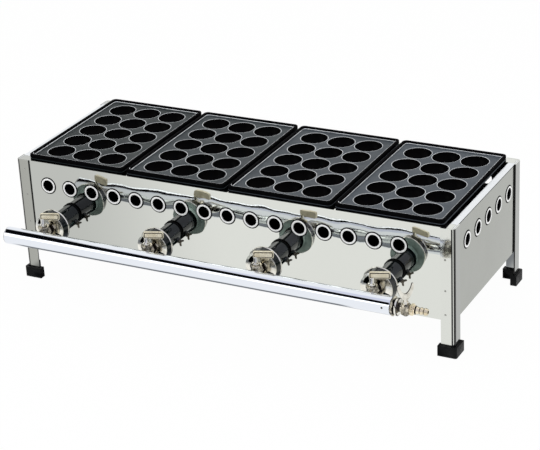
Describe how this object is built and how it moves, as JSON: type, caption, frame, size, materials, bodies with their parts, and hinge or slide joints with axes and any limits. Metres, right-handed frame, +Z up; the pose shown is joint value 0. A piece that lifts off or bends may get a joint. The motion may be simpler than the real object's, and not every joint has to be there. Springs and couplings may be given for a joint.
{
  "type": "takoyaki maker",
  "caption": "Tabletop gas cooker: steel box on four legs, lift-off cast plates with round cups, burners with air shutters and cocks on a front gas pipe.",
  "frame": {"origin": "middle of the outline on the floor, between the feet's undersides", "axes": "+X along the gas pipe towards the hose end, +Y towards the back, +Z up"},
  "size_m": [0.7584, 0.3974, 0.2156],
  "materials": {
    "panel_steel": "polished stainless sheet, fine brushed grain",
    "side_steel": "satin stainless sheet",
    "foot_rubber": "matt black moulded rubber",
    "cast_plate": "seasoned dark cast iron, satin",
    "burner_coat": "dark green-black heat-proof coat on cast iron",
    "nickel": "pale nickel plate with a warm tint",
    "chrome": "bright chrome plate",
    "brass": "turned brass, dulled"
  },
  "bodies": {
    "base": {"front_panel": "panel_steel", "back_panel": "panel_steel", "left_side_panel": "side_steel", "right_side_panel": "side_steel", "leg_front_left": "panel_steel", "leg_front_right": "panel_steel", "leg_rear_left": "panel_steel", "leg_rear_right": "panel_steel", "foot_front_left": "foot_rubber", "foot_front_right": "foot_rubber", "foot_rear_left": "foot_rubber", "foot_rear_right": "foot_rubber", "burner_1": "burner_coat", "burner_2": "burner_coat", "burner_3": "burner_coat", "burner_4": "burner_coat", "mixer_cup_1": "burner_coat", "mixer_cup_2": "burner_coat", "mixer_cup_3": "burner_coat", "mixer_cup_4": "burner_coat", "nozzle_1": "brass", "nozzle_2": "brass", "nozzle_3": "brass", "nozzle_4": "brass", "cock_body_1": "brass", "cock_body_2": "brass", "cock_body_3": "brass", "cock_body_4": "brass", "bottom_pan": "side_steel", "burner_rest_bar": "panel_steel", "manifold_pipe": "chrome", "pipe_end_plug": "chrome", "pipe_end_bush": "nickel", "main_cock_body": "brass", "hose_barb": "brass"},
    "plate_1": {"plate_1": "cast_plate"},
    "cock_lever_1": {"cock_lever_1": "nickel"},
    "air_shutter_1": {"air_shutter_1": "nickel"},
    "burner_screw_1": {"burner_screw_1": "nickel"},
    "plate_2": {"plate_2": "cast_plate"},
    "cock_lever_2": {"cock_lever_2": "nickel"},
    "air_shutter_2": {"air_shutter_2": "nickel"},
    "burner_screw_2": {"burner_screw_2": "nickel"},
    "plate_3": {"plate_3": "cast_plate"},
    "cock_lever_3": {"cock_lever_3": "nickel"},
    "air_shutter_3": {"air_shutter_3": "nickel"},
    "burner_screw_3": {"burner_screw_3": "nickel"},
    "plate_4": {"plate_4": "cast_plate"},
    "cock_lever_4": {"cock_lever_4": "nickel"},
    "air_shutter_4": {"air_shutter_4": "nickel"},
    "burner_screw_4": {"burner_screw_4": "nickel"},
    "main_cock_lever": {"main_cock_lever": "nickel"}
  },
  "joints": [
    {"name": "plate_lift_1", "type": "slide", "parent": "base", "child": "plate_1", "axis": [0, 0, 1], "range_m": [0, 0.1]},
    {"name": "cock_turn_1", "type": "hinge", "parent": "base", "child": "cock_lever_1", "pos_m": [-0.27975, -0.16195, 0.1385], "axis": [0, 0, -1], "range_deg": [0, 90]},
    {"name": "shutter_turn_1", "type": "hinge", "parent": "base", "child": "air_shutter_1", "pos_m": [-0.27975, -0.14655, 0.1265], "axis": [0, 1, 0], "range_deg": [0, 52]},
    {"name": "screw_turn_1", "type": "hinge", "parent": "base", "child": "burner_screw_1", "pos_m": [-0.26395, -0.09405, 0.11787], "axis": [0.8776, 0, -0.4794], "range_deg": [0, 180]},
    {"name": "plate_lift_2", "type": "slide", "parent": "base", "child": "plate_2", "axis": [0, 0, 1], "range_m": [0, 0.1]},
    {"name": "cock_turn_2", "type": "hinge", "parent": "base", "child": "cock_lever_2", "pos_m": [-0.09325, -0.16195, 0.1385], "axis": [0, 0, -1], "range_deg": [0, 90]},
    {"name": "shutter_turn_2", "type": "hinge", "parent": "base", "child": "air_shutter_2", "pos_m": [-0.09325, -0.14655, 0.1265], "axis": [0, 1, 0], "range_deg": [0, 52]},
    {"name": "screw_turn_2", "type": "hinge", "parent": "base", "child": "burner_screw_2", "pos_m": [-0.07745, -0.09405, 0.11787], "axis": [0.8776, 0, -0.4794], "range_deg": [0, 180]},
    {"name": "plate_lift_3", "type": "slide", "parent": "base", "child": "plate_3", "axis": [0, 0, 1], "range_m": [0, 0.1]},
    {"name": "cock_turn_3", "type": "hinge", "parent": "base", "child": "cock_lever_3", "pos_m": [0.09325, -0.16195, 0.1385], "axis": [0, 0, -1], "range_deg": [0, 90]},
    {"name": "shutter_turn_3", "type": "hinge", "parent": "base", "child": "air_shutter_3", "pos_m": [0.09325, -0.14655, 0.1265], "axis": [0, 1, 0], "range_deg": [0, 52]},
    {"name": "screw_turn_3", "type": "hinge", "parent": "base", "child": "burner_screw_3", "pos_m": [0.10905, -0.09405, 0.11787], "axis": [0.8776, 0, -0.4794], "range_deg": [0, 180]},
    {"name": "plate_lift_4", "type": "slide", "parent": "base", "child": "plate_4", "axis": [0, 0, 1], "range_m": [0, 0.1]},
    {"name": "cock_turn_4", "type": "hinge", "parent": "base", "child": "cock_lever_4", "pos_m": [0.27975, -0.16195, 0.1385], "axis": [0, 0, -1], "range_deg": [0, 90]},
    {"name": "shutter_turn_4", "type": "hinge", "parent": "base", "child": "air_shutter_4", "pos_m": [0.27975, -0.14655, 0.1265], "axis": [0, 1, 0], "range_deg": [0, 52]},
    {"name": "screw_turn_4", "type": "hinge", "parent": "base", "child": "burner_screw_4", "pos_m": [0.29555, -0.09405, 0.11787], "axis": [0.8776, 0, -0.4794], "range_deg": [0, 180]},
    {"name": "main_cock_turn", "type": "hinge", "parent": "base", "child": "main_cock_lever", "pos_m": [0.34125, -0.18405, 0.131], "axis": [0, 0, 1], "range_deg": [-46.41, 43.59]}
  ]
}
